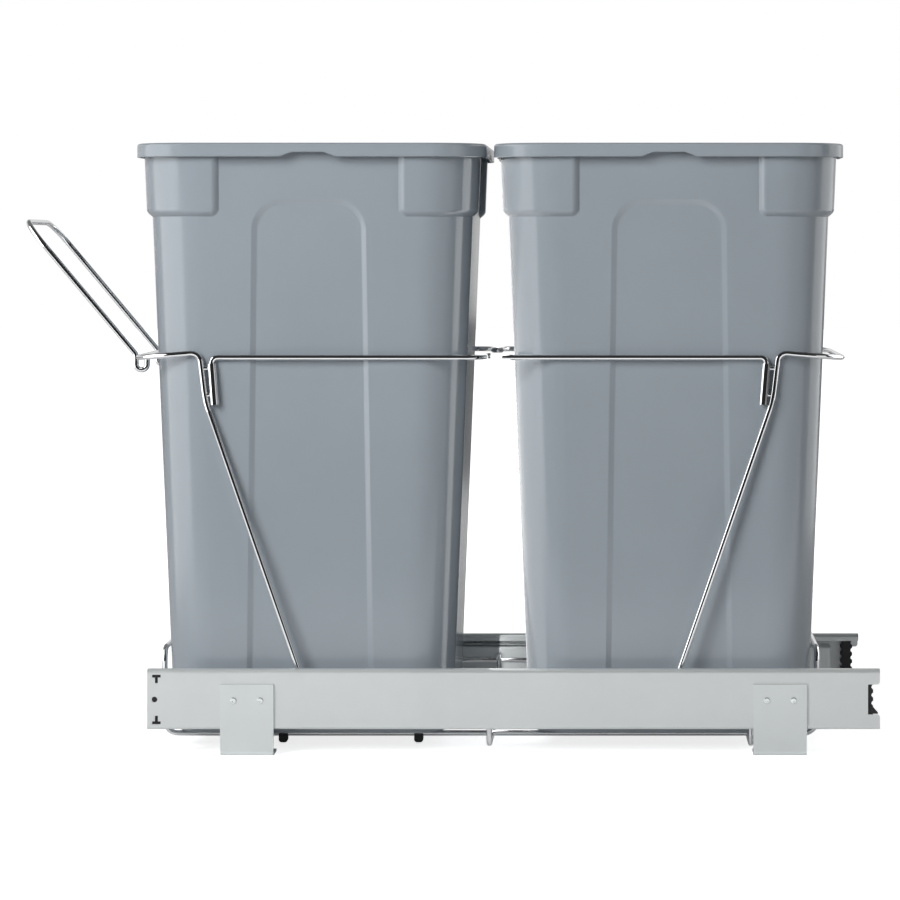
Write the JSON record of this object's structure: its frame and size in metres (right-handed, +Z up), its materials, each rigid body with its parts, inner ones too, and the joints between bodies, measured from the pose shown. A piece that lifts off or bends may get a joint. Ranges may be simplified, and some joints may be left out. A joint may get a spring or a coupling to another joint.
{
  "type": "pull-out waste unit",
  "caption": "Bottom-mount pull-out waste unit: two tapered bins in a chrome wire carriage on full-extension ball-bearing slides, with a folding wire handle.",
  "frame": {"origin": "middle of the four floor screw holes, on the underside of the brackets' feet", "axes": "+X along the slides towards the back of the cabinet, +Y across towards the far slide, +Z up"},
  "size_m": [0.6543, 0.2716, 0.46],
  "materials": {
    "slide_steel": "bright zinc plate",
    "bracket_steel": "satin zinc plate",
    "fastener_steel": "zinc plate",
    "cage_steel": "plain cold-rolled",
    "ball_steel": "polished",
    "black_rubber": "moulded",
    "chrome_wire": "bright chrome plate",
    "bin_plastic": "satin injection-moulded"
  },
  "bodies": {
    "base": {"near_outer_member": "slide_steel", "far_outer_member": "slide_steel", "near_front_bracket": "bracket_steel", "near_rear_bracket": "bracket_steel", "far_front_bracket": "bracket_steel", "far_rear_bracket": "bracket_steel", "bracket_rivets": "fastener_steel", "near_end_bumper": "black_rubber", "far_end_bumper": "black_rubber", "near_front_pad": "black_rubber", "far_front_pad": "black_rubber"},
    "near_outer_cage": {"near_outer_ball_cage": "cage_steel", "near_outer_balls": "ball_steel"},
    "far_outer_cage": {"far_outer_ball_cage": "cage_steel", "far_outer_balls": "ball_steel"},
    "near_middle": {"near_middle_member": "slide_steel"},
    "far_middle": {"far_middle_member": "slide_steel"},
    "near_inner_cage": {"near_inner_ball_cage": "cage_steel", "near_inner_balls": "ball_steel"},
    "far_inner_cage": {"far_inner_ball_cage": "cage_steel", "far_inner_balls": "ball_steel"},
    "carriage": {"near_inner_member": "slide_steel", "far_inner_member": "slide_steel", "mounting_tabs": "bracket_steel", "tab_screws": "fastener_steel", "near_side_rail": "chrome_wire", "far_side_rail": "chrome_wire", "front_cross_wire": "chrome_wire", "middle_cross_wire": "chrome_wire", "rear_cross_wire": "chrome_wire", "bin_cradle_wire": "chrome_wire", "cradle_buffers": "black_rubber", "front_end_wire": "chrome_wire", "rear_end_wire": "chrome_wire", "near_side_wire": "chrome_wire", "far_side_wire": "chrome_wire", "wire_sockets": "chrome_wire", "weld_beads": "chrome_wire"},
    "handle": {"pull_handle": "chrome_wire"},
    "front_bin": {"front_bin": "bin_plastic"},
    "rear_bin": {"rear_bin": "bin_plastic"}
  },
  "joints": [
    {"name": "carriage_slide", "type": "slide", "parent": "base", "child": "carriage", "axis": [-1, 0, 0], "range_m": [0, 0.55]},
    {"name": "near_middle_slide", "type": "slide", "parent": "base", "child": "near_middle", "axis": [-1, 0, 0], "range_m": [0, 0.275]},
    {"name": "near_outer_cage_slide", "type": "slide", "parent": "base", "child": "near_outer_cage", "axis": [-1, 0, 0], "range_m": [0, 0.1375]},
    {"name": "near_inner_cage_slide", "type": "slide", "parent": "base", "child": "near_inner_cage", "axis": [-1, 0, 0], "range_m": [0, 0.4125]},
    {"name": "far_middle_slide", "type": "slide", "parent": "base", "child": "far_middle", "axis": [-1, 0, 0], "range_m": [0, 0.275]},
    {"name": "far_outer_cage_slide", "type": "slide", "parent": "base", "child": "far_outer_cage", "axis": [-1, 0, 0], "range_m": [0, 0.1375]},
    {"name": "far_inner_cage_slide", "type": "slide", "parent": "base", "child": "far_inner_cage", "axis": [-1, 0, 0], "range_m": [0, 0.4125]},
    {"name": "handle_hinge", "type": "hinge", "parent": "carriage", "child": "handle", "pos_m": [-0.28746, 0, 0.2975], "axis": [0, 1, 0], "range_deg": [0, 38]},
    {"name": "front_bin_lift", "type": "slide", "parent": "carriage", "child": "front_bin", "axis": [0, 0, 1], "range_m": [0, 0.47]},
    {"name": "rear_bin_lift", "type": "slide", "parent": "carriage", "child": "rear_bin", "axis": [0, 0, 1], "range_m": [0, 0.47]}
  ],
  "couplings": [
    {"joint": "near_middle_slide", "follows": "carriage_slide", "ratio": 0.5},
    {"joint": "near_outer_cage_slide", "follows": "carriage_slide", "ratio": 0.25},
    {"joint": "near_inner_cage_slide", "follows": "carriage_slide", "ratio": 0.75},
    {"joint": "far_middle_slide", "follows": "carriage_slide", "ratio": 0.5},
    {"joint": "far_outer_cage_slide", "follows": "carriage_slide", "ratio": 0.25},
    {"joint": "far_inner_cage_slide", "follows": "carriage_slide", "ratio": 0.75}
  ]
}
